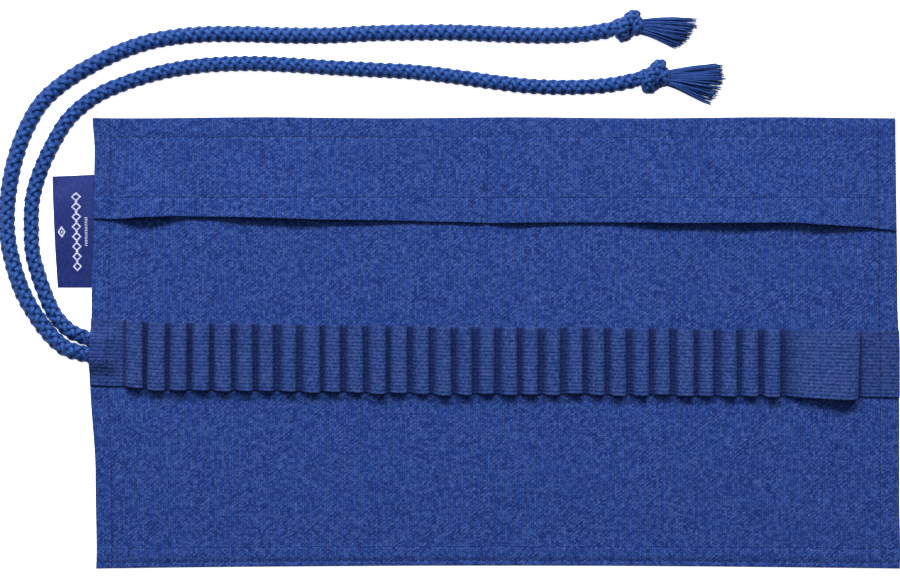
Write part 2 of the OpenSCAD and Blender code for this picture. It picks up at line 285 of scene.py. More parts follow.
def make_woven_threads():
    """Plain weave: lengthwise threads along Y and crosswise threads along X, over and under."""
    group, taken, given = new_group(
        "woven_threads",
        [("Place", VECTOR), ("Lengthwise pitch", FLOAT), ("Crosswise pitch", FLOAT), ("Lengthwise share", FLOAT),
         ("Wander", FLOAT)],
        [("Height", FLOAT), ("Thread tone", FLOAT), ("Fleck", FLOAT)],
    )
    place = taken.outputs["Place"]
    sway = add(group, "ShaderNodeTexNoise", {"Vector": place, "Scale": 170.0, "Detail": 1.0})
    off = add(group, "ShaderNodeVectorMath", {0: sway.outputs["Color"], 1: (0.5, 0.5, 0.5)}, operation="SUBTRACT")
    push = add(group, "ShaderNodeVectorMath", {0: off.outputs[0], "Scale": taken.outputs["Wander"]}, operation="SCALE")
    moved = add(group, "ShaderNodeVectorMath", {0: place, 1: push.outputs[0]}, operation="ADD")
    parts = add(group, "ShaderNodeSeparateXYZ", {0: moved.outputs[0]})
    u = calc(group, "DIVIDE", parts.outputs[0], taken.outputs["Lengthwise pitch"])
    v = calc(group, "DIVIDE", parts.outputs[1], taken.outputs["Crosswise pitch"])
    whole_u, whole_v = calc(group, "FLOOR", u), calc(group, "FLOOR", v)
    warp = calc(group, "ABSOLUTE", calc(group, "SINE", calc(group, "MULTIPLY", u, math.pi)))
    weft = calc(group, "ABSOLUTE", calc(group, "SINE", calc(group, "MULTIPLY", v, math.pi)))
    turn_u = calc(group, "COSINE", calc(group, "MULTIPLY", calc(group, "ADD", v, whole_u), math.pi))
    turn_v = calc(group, "COSINE", calc(group, "MULTIPLY", calc(group, "ADD", calc(group, "ADD", u, whole_v), 1.0), math.pi))
    patch = add(group, "ShaderNodeTexNoise", {"Vector": place, "Scale": 75.0, "Detail": 2.0})
    dotted = add(group, "ShaderNodeMapRange", {"Value": patch.outputs["Fac"], "From Min": 0.4, "From Max": 0.6}).outputs[0]
    dip = calc(group, "MULTIPLY", calc(group, "SUBTRACT", 1.0, turn_u), calc(group, "MULTIPLY_ADD", dotted, 0.2, 0.06))
    high_u = calc(group, "MULTIPLY", warp, calc(group, "SUBTRACT", 1.0, dip))
    high_v = calc(group, "MULTIPLY", weft, calc(group, "MULTIPLY_ADD", turn_v, 0.3, 0.7))
    low_v = calc(group, "MULTIPLY", high_v, calc(group, "SUBTRACT", 1.0, taken.outputs["Lengthwise share"]))
    high = calc(group, "MAXIMUM", high_u, low_v)
    lot = add(group, "ShaderNodeCombineXYZ", {0: whole_u, 1: calc(group, "MULTIPLY", v, 0.13)})
    tone = add(group, "ShaderNodeTexNoise", {"Vector": lot.outputs[0], "Scale": 0.93, "Detail": 2.0})
    crossing = add(group, "ShaderNodeCombineXYZ", {0: whole_u, 1: whole_v})
    chance = add(group, "ShaderNodeTexWhiteNoise", {"Vector": crossing.outputs[0]}, noise_dimensions="2D")
    picked = add(group, "ShaderNodeMapRange", {"Value": chance.outputs["Value"], "From Min": 0.45, "From Max": 1.0})
    dots = calc(group, "MULTIPLY", calc(group, "MULTIPLY", picked.outputs[0], high), calc(group, "MULTIPLY_ADD", dotted, 0.35, 0.6))
    dashes = add(group, "ShaderNodeCombineXYZ", {0: calc(group, "MULTIPLY", whole_u, 3.7), 1: calc(group, "MULTIPLY", v, 0.42)})
    streak = add(group, "ShaderNodeTexNoise", {"Vector": dashes.outputs[0], "Scale": 1.0, "Detail": 3.0})
    streaks = add(group, "ShaderNodeMapRange", {"Value": streak.outputs["Fac"], "From Min": 0.48, "From Max": 0.8})
    specks = calc(group, "MAXIMUM", dots, streaks.outputs[0])
    group.links.new(high, given.inputs["Height"])
    group.links.new(tone.outputs["Fac"], given.inputs["Thread tone"])
    group.links.new(specks, given.inputs["Fleck"])
    return group


def make_uneven_dye():
    """Slow drifts of tone in dyed cloth, from 0 to 1."""
    group, taken, given = new_group("uneven_dye", [("Place", VECTOR), ("Drift size", FLOAT)], [("Drift", FLOAT)])
    scale = calc(group, "DIVIDE", 1.0, taken.outputs["Drift size"])
    drift = add(group, "ShaderNodeTexNoise", {"Vector": taken.outputs["Place"], "Scale": scale, "Detail": 3.0})
    spread = add(group, "ShaderNodeMapRange", {"Value": drift.outputs["Fac"], "From Min": 0.3, "From Max": 0.7})
    group.links.new(spread.outputs[0], given.inputs["Drift"])
    return group


woven_threads, uneven_dye = make_woven_threads(), make_uneven_dye()


def laid_place(tree):
    """Where a point was in the flat cloth."""
    return add(tree, "ShaderNodeAttribute", attribute_type="GEOMETRY", attribute_name="laid").outputs["Vector"]


def canvas_material(name, dark, light, fleck_colour):
    """Blue cotton canvas: a fine warp-faced weave, light flecks of lint and slowly drifting dye."""
    made, tree, shader = plain_material(name, light, 0.9)
    place = laid_place(tree)
    weave = add(tree, "ShaderNodeGroup", node_tree=woven_threads)
    for label, value in (("Lengthwise pitch", 1.14 * MM), ("Crosswise pitch", 0.92 * MM),
                         ("Lengthwise share", 0.12), ("Wander", 0.5 * MM)):
        weave.inputs[label].default_value = value
    tree.links.new(place, weave.inputs["Place"])
    dye = add(tree, "ShaderNodeGroup", node_tree=uneven_dye)
    dye.inputs["Drift size"].default_value = 26 * MM
    tree.links.new(place, dye.inputs["Place"])
    lift = calc(tree, "MULTIPLY_ADD", weave.outputs["Height"], 0.9, -0.3)
    tone = calc(tree, "MULTIPLY_ADD", weave.outputs["Thread tone"], 1.2, -0.42)
    share = calc(tree, "ADD", lift, tone, clamp=True)
    cloth = mixed(tree, share, dark, light)
    drifted = mixed(tree, calc(tree, "MULTIPLY", dye.outputs["Drift"], 0.16), cloth, tuple(0.72 * c for c in light))
    flecked = mixed(tree, calc(tree, "MULTIPLY", weave.outputs["Fleck"], 0.85), drifted, fleck_colour)
    tree.links.new(flecked, shader.inputs["Base Color"])
    rough = calc(tree, "MULTIPLY_ADD", weave.outputs["Height"], -0.12, 0.95)
    tree.links.new(rough, shader.inputs["Roughness"])
    bump = add(tree, "ShaderNodeBump", {"Strength": 0.9, "Distance": 0.25 * MM, "Height": weave.outputs["Height"]})
    tree.links.new(bump.outputs[0], shader.inputs["Normal"])
    shader.inputs["Specular IOR Level"].default_value = 0.12
    shader.inputs["Sheen Weight"].default_value = 0.03
    shader.inputs["Sheen Roughness"].default_value = 0.6
    return made


canvas_blue = canvas_material("canvas_blue", (0.001, 0.008, 0.078), (0.009, 0.039, 0.205), (0.052, 0.104, 0.325))

panel_x = grid_lines(left, right, 1.28, fine=side_seams, keep=cuts[1:-1])
panel_y = grid_lines(bottom, top, 1.6, fine=(*hem_rows, top_row))
flat_x, flat_y = np.meshgrid(panel_x, panel_y, indexing="ij")
panel_laid = np.stack([flat_x, flat_y, 0 * flat_x], -1)
real_x, real_y = stray(flat_x, flat_y)
folded = rounding(np.minimum(np.minimum(flat_x - left, right - flat_x), np.minimum(flat_y - bottom, top - flat_y)))
panel_high = panel_top(flat_x, flat_y)
panel_low = swell(flat_x, flat_y) + 0.35 * press(flat_x, flat_y, panel_rows, deep=0.2)
middle_high = (panel_high + panel_low) / 2
panel_upper = np.stack([real_x, real_y, middle_high + (panel_high - middle_high) * folded], -1)
panel_lower = np.stack([real_x, real_y, middle_high - (middle_high - panel_low) * folded], -1)


def columns(lines, k):
    """The columns of a grid that belong to piece k."""
    i = int(np.argmin(np.abs(lines - cuts[k - 1])))
    j = int(np.argmin(np.abs(lines - cuts[k])))
    return slice(i, j + 1)


for k in range(1, strips):
    part = columns(panel_x, k)
    piece = closed_sheet(f"canvas_panel_{k:02d}", panel_upper[part], panel_lower[part], panel_laid[part], canvas_blue)
    over_fold(piece)
    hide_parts(f"back_panel_{k:02d}", *([f"back_panel_{strips:02d}"] if k == strips - 1 else []))

# ---------------------------------------------------------------------------------------------
# The pocket: a strip of the same canvas along the top edge, folded over at its mouth and hemmed.
# It is sewn to the panel along its top, down both ends and down a dividing seam near the middle,
# and its mouth stands open a little in soft waves.
divider = -3.7
mouth_row = top - 37.3
pocket_thick = 0.8
mouth_waves = [(-162, 12, 4.0), (-118, 14, 1.6), (-92, 20, 2.6), (-62, 14, 1.0), (10, 16, 1.0), (78, 16, 2.0),
               (112, 20, 2.8), (150, 18, 2.8)]


def mouth(x):
    """Where the pocket's free edge lies."""
    return top - flow(x, [-188, -177, -163, -149, -135, -121, -107, -93, -79, -65, -44, -23, -2, 26, 61, 89, 117, 138, 152, 166, 173, 180, 188],
                      [47.2, 47.6, 46.8, 46.3, 46.5, 46.7, 47.0, 47.5, 47.9, 48.1, 48.4, 48.9, 49.5, 49.2, 49.2, 49.5, 49.4, 49.3, 50.2, 51.0, 51.4, 52.3, 53.1])


def pocket_top(x, y):
    """Height of the pocket's upper side."""
    held = 1 - sum(np.exp(-(((x - s) / w) ** 2)) for s, w in ((side_seams[0] - 4, 7), (side_seams[1] + 4, 7), (divider, 4)))
    open_here = 0.45 + sum(a * np.exp(-(((x - c) / w) ** 2)) for c, w, a in mouth_waves)
    down = np.clip((top_row - y) / (top_row - mouth(x)), 0, 1)
    gap = np.clip(held, 0, 1) * open_here * down ** 1.6
    ripple = 0.16 * np.sin(x / 6.3 + y / 9 + 2 * np.sin(x / 41)) * np.sin(np.pi * down) ** 2
    rows = [("x", side_seams[0]), ("x", side_seams[1]), ("y", top_row), ("y", mouth_row), ("x", divider)]
    hem = 0.22 / (1 + np.exp((y - mouth_row - 0.6) / 0.25))
    return swell(x, y) + canvas_thick + 0.25 + pocket_thick + gap + ripple + hem - press(x, y, rows, deep=0.32)


pocket_cloth = canvas_material("pocket_blue", (0.001, 0.008, 0.078), (0.009, 0.039, 0.203), (0.052, 0.104, 0.322))
pocket_x = grid_lines(left + 0.3, right - 0.3, 1.28, fine=(*side_seams, divider), keep=cuts[1:-1])
share_y = (grid_lines(0, 48.5, 1.3, fine=(48.5 - 39.5, 48.5 - 11.2)) / 48.5)
pocket_flat_x = np.repeat(pocket_x[:, None], len(share_y), 1)
pocket_flat_y = mouth(pocket_flat_x) + share_y[None, :] * (top - 0.25 - mouth(pocket_flat_x))
pocket_laid = np.stack([pocket_flat_x + 700, pocket_flat_y, 0 * pocket_flat_x], -1)
folded = rounding(np.minimum(np.minimum(pocket_flat_x - pocket_x[0], pocket_x[-1] - pocket_flat_x),
                             np.minimum(pocket_flat_y - mouth(pocket_flat_x), top - 0.25 - pocket_flat_y)))
pocket_high = pocket_top(pocket_flat_x, pocket_flat_y)
pocket_low = np.maximum(pocket_high - pocket_thick, panel_top(pocket_flat_x, pocket_flat_y) - 0.15)
middle_high = (pocket_high + pocket_low) / 2
real_x, real_y = stray(pocket_flat_x, pocket_flat_y)
pocket_upper = np.stack([real_x, real_y, middle_high + (pocket_high - middle_high) * folded], -1)
pocket_lower = np.stack([real_x, real_y, middle_high - (middle_high - pocket_low) * folded], -1)
for k in range(1, strips):
    part = columns(pocket_x, k)
    piece = closed_sheet(f"pocket_cloth_{k:02d}", pocket_upper[part], pocket_lower[part], pocket_laid[part], pocket_cloth)
    over_fold(piece)
    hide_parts(f"pocket_flap_{k:02d}", *([f"pocket_flap_{strips:02d}"] if k == strips - 1 else []))

# ---------------------------------------------------------------------------------------------
# The elastic band: one length of ribbed elastic, 32 mm wide, sewn down at thirty-one lines so that
# it stands up in thirty narrow loops and, before its flat right end, one wide loop folded hard over.
# The loops were pressed by hand, so each leans and stands a little differently from the next.
rng = np.random.default_rng(31)
first_box, last_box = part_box("tape_left_end"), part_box("tape_right_end")
band_width = (last_box[1][1] - last_box[0][1]) / MM
mid_left = (first_box[0][1] + first_box[1][1]) / 2 / MM
mid_right = (last_box[0][1] + last_box[1][1]) / 2 / MM
loops_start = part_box("brush_loops_01")[0][0] / MM
loop_pitch = (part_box("brush_loops_02")[1][0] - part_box("brush_loops_02")[0][0]) / 2 / MM
loops_end = loops_start + 30 * loop_pitch
flat_start = last_box[0][0] / MM
band_thick, sewn_thick = 0.9, 0.55
rib_pitch, rib_high = 1.65, 0.2
cord_middle = -2.6


def band_middle(x):
    """Height up the panel of the elastic's middle line: a slope down to the right, with a wander."""
    wander = flow(x, [left, left + 12, left + 32, -23, 40, 105, right], [1.2, 0.9, -0.1, -0.75, -0.2, 0, 0])
    return mid_left + (mid_right - mid_left) * (x - left) / (flat_start - left) + wander


def evenly(points, step):
    """The same line with points about step apart."""
    points = np.asarray(points, float)
    run = np.concatenate([[0], np.cumsum(np.linalg.norm(np.diff(points, axis=0), axis=1))])
    at = np.linspace(0, run[-1], max(2, round(run[-1] / step) + 1))
    return np.stack([np.interp(at, run, points[:, c]) for c in range(points.shape[1])], -1)


def rounded_line(points, turns=8):
    """A smooth curve through the points."""
    p = np.asarray(points, float)
    p = np.concatenate([[2 * p[0] - p[1]], p, [2 * p[-1] - p[-2]]])
    t = np.linspace(0, 1, turns, endpoint=False)[:, None]
    out = [0.5 * (2 * b + (c - a) * t + (2 * a - 5 * b + 4 * c - d) * t**2 + (3 * b - a - 3 * c + d) * t**3)
           for a, b, c, d in zip(p, p[1:], p[2:], p[3:])]
    return np.concatenate([*out, p[-2][None]])


def narrow_loop(x0):
    """Outline of a loop between two sewn lines: place and height above the panel."""
    high = rng.uniform(3.9, 5.1)
    fold = loop_pitch - rng.uniform(0.9, 2.1)
    climb = rng.uniform(0.9, 2.3)
    crown = rng.uniform(0.9, 1.0)
    points = [(0, sewn_thick), (0.55, sewn_thick + 0.15), (0.9 + 0.33 * climb, 0.42 * high),
              (1.35 + 0.75 * climb, 0.74 * high), (2.6 + climb, 0.93 * high * crown), (0.5 * fold + 1.7, high),
              (fold - 1.2, 0.95 * high), (fold - 0.25, 0.84 * high), (fold + 0.05, 0.62 * high), (fold - 0.05, 0.38 * high),
              (fold + 0.14, sewn_thick + 0.45), (0.5 * (fold + 0.2 + loop_pitch), sewn_thick + 0.06),
              (loop_pitch, sewn_thick)]
    return rounded_line(np.array(points) + (x0, 0))


spans = [evenly([[left, band_thick], [loops_start - 0.4, band_thick * 0.9], [loops_start, sewn_thick]], 1.1)]
for n in range(30):
    spans.append(evenly(narrow_loop(loops_start + n * loop_pitch), 0.8))
w0 = loops_end
spans.append(evenly(rounded_line([
    [w0, sewn_thick], [w0 + 0.9, 1.0], [w0 + 2.8, 1.9], [w0 + 7, 3.0], [w0 + 14, 4.2], [w0 + 24, 5.8], [w0 + 29.5, 6.3],
    [w0 + 32.8, 5.9], [w0 + 34.2, 4.6], [w0 + 34.0, 2.5], [w0 + 34.2, 1.1], [flat_start, sewn_thick]]), 0.8))
spans.append(evenly([[flat_start, sewn_thick], [flat_start + 0.5, band_thick], [right, band_thick]], 1.1))
line = np.concatenate([s if i == 0 else s[1:] for i, s in enumerate(spans)])
loop_of = np.concatenate([np.full(len(s) - (i > 0), i) for i, s in enumerate(spans)])
run = np.concatenate([[0], np.cumsum(np.linalg.norm(np.diff(line, axis=0), axis=1))])
slope = np.gradient(line, axis=0)
slope /= np.linalg.norm(slope, axis=1, keepdims=True)
out_x, out_z = -slope[:, 1], slope[:, 0]
thick = np.where(line[:, 1] < 0.8, sewn_thick, band_thick)
thick = np.convolve(np.pad(thick, 1, mode="edge"), [0.25, 0.5, 0.25], "valid")

rows = np.arange(-band_width / 2, band_width / 2 + 0.01, rib_pitch / 6)
rows = np.concatenate([rows[:1], rows[:1] + 0.1, rows[1:-1], rows[-1:] - 0.1, rows[-1:]])
rows[-1], rows[-2] = band_width / 2, band_width / 2 - 0.1
away_side = band_width / 2 - np.abs(rows)
ribs = np.abs(np.cos(np.pi * rows / rib_pitch)) ** 0.75
worn_flat = np.clip((band_width / 2 - rows) / 6.0, 0, 1)
ribs = 0.62 * (1 - worn_flat) * 0.65 + ribs * (0.35 + 0.65 * worn_flat)
ribs = np.where(away_side < 0.9, 0.75 * rounding(away_side, 0.35), ribs)
loop_shift = np.concatenate([[0.0], rng.uniform(-0.28, 0.28, 30), [0.1, 0.0]])
shift = np.convolve(np.pad(loop_shift[loop_of], 3, mode="edge"), np.ones(7) / 7, "valid")


def cord_hump(x, y):
    """How far the flat left end rises over the cord that is sewn in under it."""
    across = np.clip(1 - np.maximum(np.abs(y - cord_middle + 1.2) - 4.2, 0) / 8.5, 0, 1)
    along = np.clip((left + 14.0 - x) / 8.5, 0, 1)
    return 3.3 * (across * across * (3 - 2 * across)) * (along * along * (3 - 2 * along))


raised = np.clip((line[:, 1] - 0.9) / 5.4, 0, 1)[:, None]
low_share = (0.5 - rows / band_width)[None, :]
sag = np.concatenate([[0.0], rng.uniform(-0.2, 1.1, 30), [1.5, 0.0]])[loop_of][:, None]
lean = np.concatenate([[0.0], rng.uniform(-0.9, 0.9, 30), [-2.0, 0.0]])[loop_of][:, None]
along_loop = np.where(loop_of == 31, np.clip((line[:, 0] - w0) / 34, 0, 1), 1)[:, None]
band_x = line[:, 0][:, None] + (out_x[:, None] * rib_high) * ribs[None, :] + lean * raised * along_loop * (low_share - 0.45)
band_y = band_middle(line[:, 0])[:, None] + rows[None, :] + shift[:, None] - sag * raised * low_share
flare = np.clip(1 - away_side / 5, 0, 1)[None, :] ** 2 * np.clip((line[:, 1] - 1.2) / 3, 0, 1)[:, None]
band_z = (panel_top(line[:, 0][:, None] + 0 * rows, band_y) + line[:, 1][:, None] + out_z[:, None] * rib_high * ribs
          + cord_hump(line[:, 0][:, None], band_y) - 0.18 * flare
          - 0.3 * np.exp(-(((line[:, 0][:, None] - side_seams[1]) / 0.8) ** 2)))
edge_x, _ = stray(line[:, 0][:, None] + 0 * rows, band_y)
band_x = band_x + edge_x - line[:, 0][:, None]
under_x = band_x - out_x[:, None] * (thick[:, None] + rib_high * (ribs[None, :] - 0.3))
under_z = band_z - out_z[:, None] * (thick[:, None] + rib_high * (ribs[None, :] - 0.3)) + 0.03
band_upper, band_lower = np.stack([band_x, band_y, band_z], -1), np.stack([under_x, band_y, under_z], -1)
# Painted light and shade: this share is 0 where the elastic lies low by the sewn lines and 1 high on a loop. Kept as
# the third laid value, it darkens the low parts and lightens the loops' crowns.
painted_light_by_height = np.where((loop_of == 0) | (loop_of == 32), 0.75, np.clip((line[:, 1] - 1.0) / 2.6, 0, 1))
band_laid = np.stack([run[:, None] + 0 * rows, rows[None, :] + 0 * run[:, None], painted_light_by_height[:, None] + 0 * rows], -1)


def elastic_material():
    """Ribbed elastic: shiny ribs over a darker ground, crossed by fine yarns, duller than the canvas, with painted
    shade low between the loops and painted light on their crowns.
    """
    made, tree, shader = plain_material("elastic_navy", (0.03, 0.05, 0.2), 0.7)
    place = laid_place(tree)
    parts = add(tree, "ShaderNodeSeparateXYZ", {0: place})
    rib = calc(tree, "ABSOLUTE", calc(tree, "COSINE", calc(tree, "MULTIPLY", parts.outputs[1], math.pi / (rib_pitch * MM))))
    yarns = add(tree, "ShaderNodeGroup", node_tree=woven_threads)
    for label, value in (("Lengthwise pitch", 0.95 * MM), ("Crosswise pitch", rib_pitch / 2 * MM),
                         ("Lengthwise share", 0.3), ("Wander", 0.35 * MM)):
        yarns.inputs[label].default_value = value
    tree.links.new(place, yarns.inputs["Place"])
    dye = add(tree, "ShaderNodeGroup", node_tree=uneven_dye)
    dye.inputs["Drift size"].default_value = 9 * MM
    tree.links.new(place, dye.inputs["Place"])
    near_top = calc(tree, "DIVIDE", calc(tree, "SUBTRACT", band_width / 2 * MM, parts.outputs[1]), 6 * MM, clamp=True)
    drawn = add(tree, "ShaderNodeCombineXYZ", {0: calc(tree, "MULTIPLY", parts.outputs[0], 1 / (1.6 * MM)),
                                               1: calc(tree, "MULTIPLY", parts.outputs[1], 2.2 / (rib_pitch * MM))})
    broken = add(tree, "ShaderNodeTexNoise", {"Vector": drawn.outputs[0], "Scale": 1.0, "Detail": 3.0, "Roughness": 0.7})
    rib_seen = calc(tree, "MULTIPLY_ADD", calc(tree, "SUBTRACT", rib, 0.62), calc(tree, "MULTIPLY_ADD", near_top, 0.7, 0.3), 0.62)
    lift = calc(tree, "MULTIPLY_ADD", rib_seen, 0.75, calc(tree, "MULTIPLY_ADD", yarns.outputs["Height"], 0.45, -0.38))
    lift = calc(tree, "ADD", lift, calc(tree, "MULTIPLY_ADD", broken.outputs["Fac"], 1.9, -0.95), clamp=True)
    ground = mixed(tree, lift, (0.001, 0.010, 0.078), (0.021, 0.050, 0.182))
    patches = calc(tree, "MULTIPLY_ADD", dye.outputs["Drift"], 0.9, -0.35, clamp=True)
    violet = mixed(tree, patches, (0.82, 0.97, 0.98), (1.6, 0.80, 1.0))
    tinted = mixed(tree, 1.0, ground, violet, "MULTIPLY")
    flecked = mixed(tree, calc(tree, "MULTIPLY", yarns.outputs["Fleck"], 0.7), tinted, (0.056, 0.090, 0.250))
    # Painted shade and painted light: the third laid value turns the colour dark low between the loops and light on
    # their crowns.
    crown = mixed(tree, calc(tree, "MULTIPLY", parts.outputs[2], 1 / MM), (0.34, 0.45, 0.60), (1.10, 1.11, 1.11))
    painted_shade_on_elastic = mixed(tree, 1.0, flecked, crown, "MULTIPLY")
    tree.links.new(painted_shade_on_elastic, shader.inputs["Base Color"])
    tree.links.new(calc(tree, "MULTIPLY_ADD", rib_seen, -0.2, 0.9), shader.inputs["Roughness"])
    bump = add(tree, "ShaderNodeBump", {"Strength": 0.6, "Distance": 0.14 * MM, "Height": yarns.outputs["Height"]})
    tree.links.new(bump.outputs[0], shader.inputs["Normal"])
    shader.inputs["Specular IOR Level"].default_value = 0.12
    shader.inputs["Sheen Weight"].default_value = 0.02
    return made


elastic_navy = elastic_material()
bands = []
for k in range(1, strips):
    part = slice(int(np.argmin(np.abs(line[:, 0] - cuts[k - 1]) + 9 * (k > 1 and k < 16) * (line[:, 1] > 0.7))),
                 int(np.argmin(np.abs(line[:, 0] - cuts[k]) + 9 * (k < 15) * (line[:, 1] > 0.7))) + 1)
    piece = closed_sheet(f"elastic_band_{k:02d}", band_upper[part], band_lower[part], band_laid[part], elastic_navy)
    over_fold(piece)
    nodes = [f"brush_loops_{k:02d}"] if k < 16 else []
    nodes += {1: ["tape_left_end"], 15: [], 16: ["wide_loop", "tape_right_end"]}.get(k, [])
    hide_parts(*nodes)
    bands.append(piece)

# ---------------------------------------------------------------------------------------------
# The woven label: a dark satin ribbon folded double and sewn into the left side's seam, with a
# woven pattern of plain lozenges in white yarn. It lies almost flat beside the panel.
label_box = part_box("woven_label")
label_out, label_low, label_high = label_box[0][0] / MM, label_box[0][1] / MM, label_box[1][1] / MM
label_lean = 2.4
ribbon_thick = 0.28
satin_weave = 0.3


def label_place(along, up):
    """From the label's own plane, out from the seam and up it, to a place on the table."""
    share = (up - label_low) / (label_high - label_low)
    far = label_out - 1.5 + label_lean * np.clip(1 - share, 0, 1) ** 1.6
    return left + 0.35 - along * (left + 0.35 - far) / (left + 0.35 - label_out), up + 0.05 * (17.5 - along) * share


def ribbon_outline():
    """Across the folded ribbon: out along the lower layer, round the fold and back on the upper one."""
    wide = left + 0.35 - label_out
    lower = [[0.2, 0.25], [wide * 0.5, 0.18], [wide - 0.5, 0.2]]
    fold = [[wide - 0.08, 0.3], [wide, 0.5], [wide - 0.1, 0.72]]
    upper = [[wide - 0.6, 0.84], [wide * 0.55, 0.86], [wide * 0.2, 0.92], [0.2, 0.95]]
    return evenly(rounded_line(lower + fold + upper), 0.22)


outline = ribbon_outline()
around = np.concatenate([[0], np.cumsum(np.linalg.norm(np.diff(outline, axis=0), axis=1))])
turn = np.gradient(outline, axis=0)
turn /= np.linalg.norm(turn, axis=1, keepdims=True)
ups = np.linspace(label_low, label_high, 90)
wave = 0.10 * np.sin(ups / 5.3) + 0.08 * np.sin(ups / 2.1 + 1)
ripple = np.clip(outline[:, 0] / 17, 0, 1)[:, None] * (wave[None, :] + 0.14)


def ribbon_side(inward):
    """One face of the ribbon: inward is 0 for the outside and its thickness for the inside."""
    along = outline[:, 0] - inward * turn[:, 1]
    high = outline[:, 1] + inward * turn[:, 0]
    x, y = label_place(along[:, None] + 0 * ups, ups[None, :] + 0 * along[:, None])
    return np.stack([x, y, high[:, None] + ripple], -1)


def satin_material():
    """Navy satin: long floats along the ribbon, slowly drifting dye, and a painted sheen that lightens it towards the
    top, where light catches it.
    """
    made, tree, shader = plain_material("label_satin", (0.03, 0.04, 0.2), 0.45)
    place = laid_place(tree)
    weave = add(tree, "ShaderNodeGroup", node_tree=woven_threads)
    for label, value in (("Lengthwise pitch", 0.45 * MM), ("Crosswise pitch", satin_weave * MM),
                         ("Lengthwise share", 0.0), ("Wander", 0.2 * MM)):
        weave.inputs[label].default_value = value
    tree.links.new(place, weave.inputs["Place"])
    dye = add(tree, "ShaderNodeGroup", node_tree=uneven_dye)
    dye.inputs["Drift size"].default_value = 11 * MM
    tree.links.new(place, dye.inputs["Place"])
    base = mixed(tree, calc(tree, "MULTIPLY_ADD", weave.outputs["Height"], 0.7, 0.1), (0.001, 0.003, 0.035), (0.003, 0.010, 0.095))
    mottle = add(tree, "ShaderNodeGroup", node_tree=uneven_dye)
    mottle.inputs["Drift size"].default_value = 1.3 * MM
    tree.links.new(place, mottle.inputs["Place"])
    # Painted sheen: the colour is lightened towards the top of the label, where light catches the satin. The drift and
    # mottle mixed in with it are uneven dye.
    up = calc(tree, "MODULO", add(tree, "ShaderNodeSeparateXYZ", {0: place}).outputs[1], 0.3)
    up = calc(tree, "DIVIDE", calc(tree, "SUBTRACT", up, 0.048), 0.026, clamp=True)
    share = calc(tree, "ADD", calc(tree, "MULTIPLY", dye.outputs["Drift"], 0.25), calc(tree, "MULTIPLY", up, 0.45))
    share = calc(tree, "ADD", share, calc(tree, "MULTIPLY_ADD", mottle.outputs["Drift"], 0.5, 0.02), clamp=True)
    drifted = mixed(tree, share, base, (0.023, 0.035, 0.163))
    tree.links.new(drifted, shader.inputs["Base Color"])
    tree.links.new(calc(tree, "MULTIPLY_ADD", weave.outputs["Thread tone"], 0.25, 0.45), shader.inputs["Roughness"])
    bump = add(tree, "ShaderNodeBump", {"Strength": 0.35, "Distance": 0.06 * MM, "Height": weave.outputs["Height"]})
    tree.links.new(bump.outputs[0], shader.inputs["Normal"])
    shader.inputs["Specular IOR Level"].default_value = 0.06
    return made


ribbon_laid = np.stack([around[:, None] + 0 * ups, ups[None, :] + 0 * around[:, None], 0 * ripple], -1)
label = closed_sheet("woven_label_ribbon", ribbon_side(ribbon_thick)[::-1], ribbon_side(0)[::-1], ribbon_laid[::-1], satin_material())
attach(label, "strip_01")
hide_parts("woven_label")


def floats(rows_of_yarn, high, thick):
    """Short raised yarns on the label. Each is (out from the seam, up, half its length)."""
    points, faces, flat = [], [], []
    for along, up, half in rows_of_yarn:
        steps = np.array([-1, -0.8, 0, 0.8, 1]) * half
        rise = np.array([-0.1, 0.02, 0.06, 0.02, -0.1])
        x, y = label_place(along + steps, np.full(5, up))
        for i in range(5):
            for j in range(6):
                w = 2 * math.pi * j / 6
                points.append((x[i], y[i] + thick * math.cos(w), high + rise[i] + thick * 0.6 * math.sin(w)))
                flat.append((along, up, steps[i]))
        first = len(points) - 30
        faces += [(first + i * 6 + j, first + i * 6 + (j + 1) % 6, first + (i + 1) * 6 + (j + 1) % 6, first + (i + 1) * 6 + j)
                  for i in range(4) for j in range(6)]
        faces += [tuple(first + j for j in reversed(range(6))), tuple(first + 24 + j for j in range(6))]
    return np.array(points) * MM, faces, np.array(flat) * MM


def lozenge(middle_out, middle_up, half_out, half_up, hollow, step=0.3):
    """The rows of a woven lozenge with a hollow middle."""
    found = []
    for up in np.arange(-half_up + step / 2, half_up, step):
        outer = half_out * (1 - abs(up) / half_up)
        inner = outer - half_out * (1 - hollow)
        if inner > 0.15:
            half = (outer - inner) / 2
            found += [(middle_out + s * (inner + half), middle_up + up, half) for s in (-1, 1)]
        elif outer > 0.12:
            found.append((middle_out, middle_up + up, outer))
    return found


pattern = []
for n in range(8):
    pattern += lozenge(7.9, 35.3 + n * 4.6, 2.2, 2.2, 0.62)
for n in range(7):
    pattern += lozenge(7.9, 37.6 + n * 4.6, 0.7, 0.7, 0.0)
pattern += lozenge(14.6, 51.4, 1.8, 2.8, 0.6) + lozenge(14.6, 51.4, 0.5, 0.8, 0.0)
pattern += [(3.6, 45.0 + n * 0.75, 0.62) for n in range(18)]
white_yarn, tree, shader = plain_material("label_white_yarn", (0.62, 0.64, 0.78), 0.6)
soft_grain = add(tree, "ShaderNodeTexNoise", {"Vector": laid_place(tree), "Scale": 2600.0, "Detail": 2.0})
tree.links.new(mixed(tree, soft_grain.outputs["Fac"], (0.16, 0.19, 0.42), (0.74, 0.78, 0.92)), shader.inputs["Base Color"])
tree.links.new(calc(tree, "MULTIPLY_ADD", soft_grain.outputs["Fac"], 0.3, 0.4), shader.inputs["Roughness"])
pattern_piece = cloth_mesh("woven_label_pattern", *floats(pattern, 1.12, 0.17), white_yarn)
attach(pattern_piece, "strip_01")

